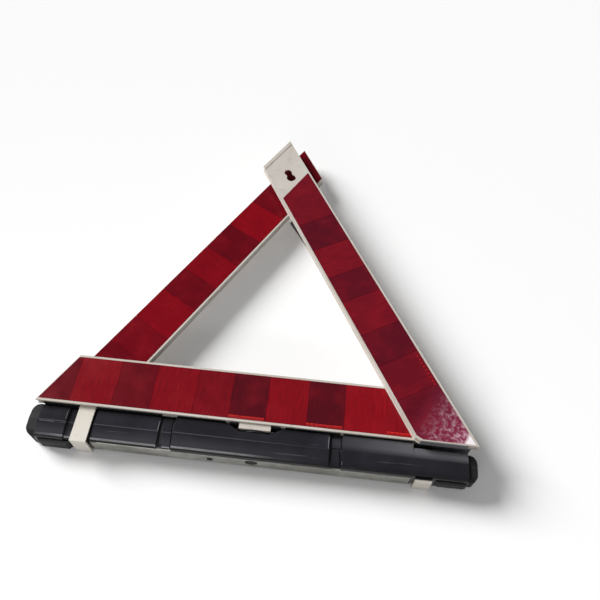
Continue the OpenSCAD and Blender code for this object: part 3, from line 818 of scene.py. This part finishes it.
PIVOT_Z = 17.0
WING_Y = wall - 2.2
WING_INNER, WING_OUTER = 16.8, 29.5
WING_DEGREES, WING_STEPS = (-32, 6), 12
WEDGE_Z = 37.6


def wing(side):
    """A piece of a ring beside the turntable, wide enough to fill the recess."""
    low, high = WING_DEGREES
    turns = [math.radians(low + (high - low) * i / WING_STEPS) for i in range(WING_STEPS + 1)]
    ring = [(WING_OUTER, a) for a in turns] + [(WING_INNER, a) for a in reversed(turns)]
    return [Vector((side * r * math.cos(a), WING_Y, PIVOT_Z + r * math.sin(a))) * mm
            for r, a in ring]


def right_spot(u, v):
    """A place beside the right arm, at the wedge's height, in millimetres along U and V."""
    arm = ARMS["right"]
    spot = arm["origin"] + arm["u"] * u * mm + arm["v"] * v * mm
    return Vector((spot.x, spot.y, WEDGE_Z * mm))


plate("turntable_wings", [wing(-1), wing(1)], Vector((0, 0.5, 0)) * mm, inner_black, "base")
# A black wedge under the right arm near the crossing, which paints the shade there.
wedge = [right_spot(293, 26.9), right_spot(290, 30.6), right_spot(270, 28.4),
         right_spot(248, 26.9)]
plate("painted_shade_wedge", [wedge], Vector((0, 0, 1.4)) * mm, inner_black, "right_arm")

# %% [markdown]
# ## Floor, light and camera
# The floor is a plain white sheet. To the camera it glows a little, so that it reads as white
# while it still takes the shadows. A wide window light comes from the left and from behind, and
# throws soft shadows to the right. A lamp in front stands where the foot's rounded edge mirrors
# it to the camera, and so draws a thin highlight along that edge.

# %% Floor
PAPER_WHITE = (0.93, 0.93, 0.93, 1)
PAPER_GLOW = 0.07
BELOW = 0.0004


def paper_floor():
    finish, tree, shader, _ = start("paper floor")
    shader.inputs["Base Color"].default_value = PAPER_WHITE
    shader.inputs["Roughness"].default_value = 0.9
    shader.inputs["Specular IOR Level"].default_value = 0.0
    seen = tree.nodes.new("ShaderNodeLightPath").outputs["Is Camera Ray"]
    shader.inputs["Emission Color"].default_value = (1, 1, 1, 1)
    tree.links.new(times(tree, seen, PAPER_GLOW), shader.inputs["Emission Strength"])
    return finish


bpy.ops.mesh.primitive_plane_add(size=12, location=(0, 0, -BELOW))
floor = bpy.context.object
floor.name = "floor"
floor.data.materials.append(paper_floor())
print("floor at", floor.location.z)

# %% World


def soft_world(strength):
    """An even white room. To the camera itself it is plain white."""
    world = bpy.data.worlds.new("soft room")
    bpy.context.scene.world = world
    world.use_nodes = True
    tree = world.node_tree
    tree.nodes.clear()
    seen = tree.nodes.new("ShaderNodeLightPath").outputs["Is Camera Ray"]
    room = add(tree, "ShaderNodeBackground", None, Color=(1, 1, 1, 1), Strength=strength)
    white = add(tree, "ShaderNodeBackground", None, Color=(1, 1, 1, 1), Strength=1.0)
    mixed = add(tree, "ShaderNodeMixShader", None, _0=seen, _1=room.outputs[0], _2=white.outputs[0])
    out = tree.nodes.new("ShaderNodeOutputWorld")
    tree.links.new(mixed.outputs[0], out.inputs[0])


soft_world(0.215)
print("world ready")

# %% Lamps


def lamp(name, kind, spot, aim, power, size):
    """A lamp at a spot, turned towards an aim. The size of a sun is its angle."""
    data = bpy.data.lights.new(name, kind)
    data.energy = power
    if kind == "SUN":
        data.angle = size
    else:
        data.shape = "RECTANGLE"
        data.size, data.size_y = size
    light = bpy.data.objects.new(name, data)
    light.location = spot
    light.rotation_euler = (Vector(aim) - Vector(spot)).to_track_quat("-Z", "Y").to_euler()
    bpy.context.scene.collection.objects.link(light)
    print(name, "at", spot, "with power", power)


lamp("window", "SUN", (-0.74, 0.49, 0.53), aim=(0.0, 0.15, 0.0), power=4.2, size=0.5)
lamp("strip light", "AREA", (-0.32, -0.80, 0.51), aim=(-0.10, -0.013, 0.028), power=1.6,
     size=(0.5, 0.16))

# %% Camera
SENSOR = 36


def look(spot, forward, right, lens, shift):
    """A camera at a spot, given the way it looks and the way its right side points."""
    data = bpy.data.cameras.new("camera")
    data.sensor_width = SENSOR
    data.lens = lens
    data.shift_y = shift
    camera = bpy.data.objects.new("camera", data)
    forward = Vector(forward).normalized()
    right = (Vector(right) - forward * forward.dot(Vector(right))).normalized()
    up = right.cross(forward)
    turn = Matrix((right, up, -forward)).transposed().to_4x4()
    camera.matrix_world = Matrix.Translation(Vector(spot)) @ turn
    bpy.context.scene.collection.objects.link(camera)
    bpy.context.scene.camera = camera
    return camera


camera = look((0.0573, -0.2003, 0.6524), forward=(-0.0491, 0.6215, -0.7819),
              right=(0.9946, 0.1019, 0.0185), lens=600.7 / 600 * SENSOR, shift=-80 / 600)
bpy.context.scene.view_settings.view_transform = "Standard"
print("camera at", tuple(round(c, 3) for c in camera.location))
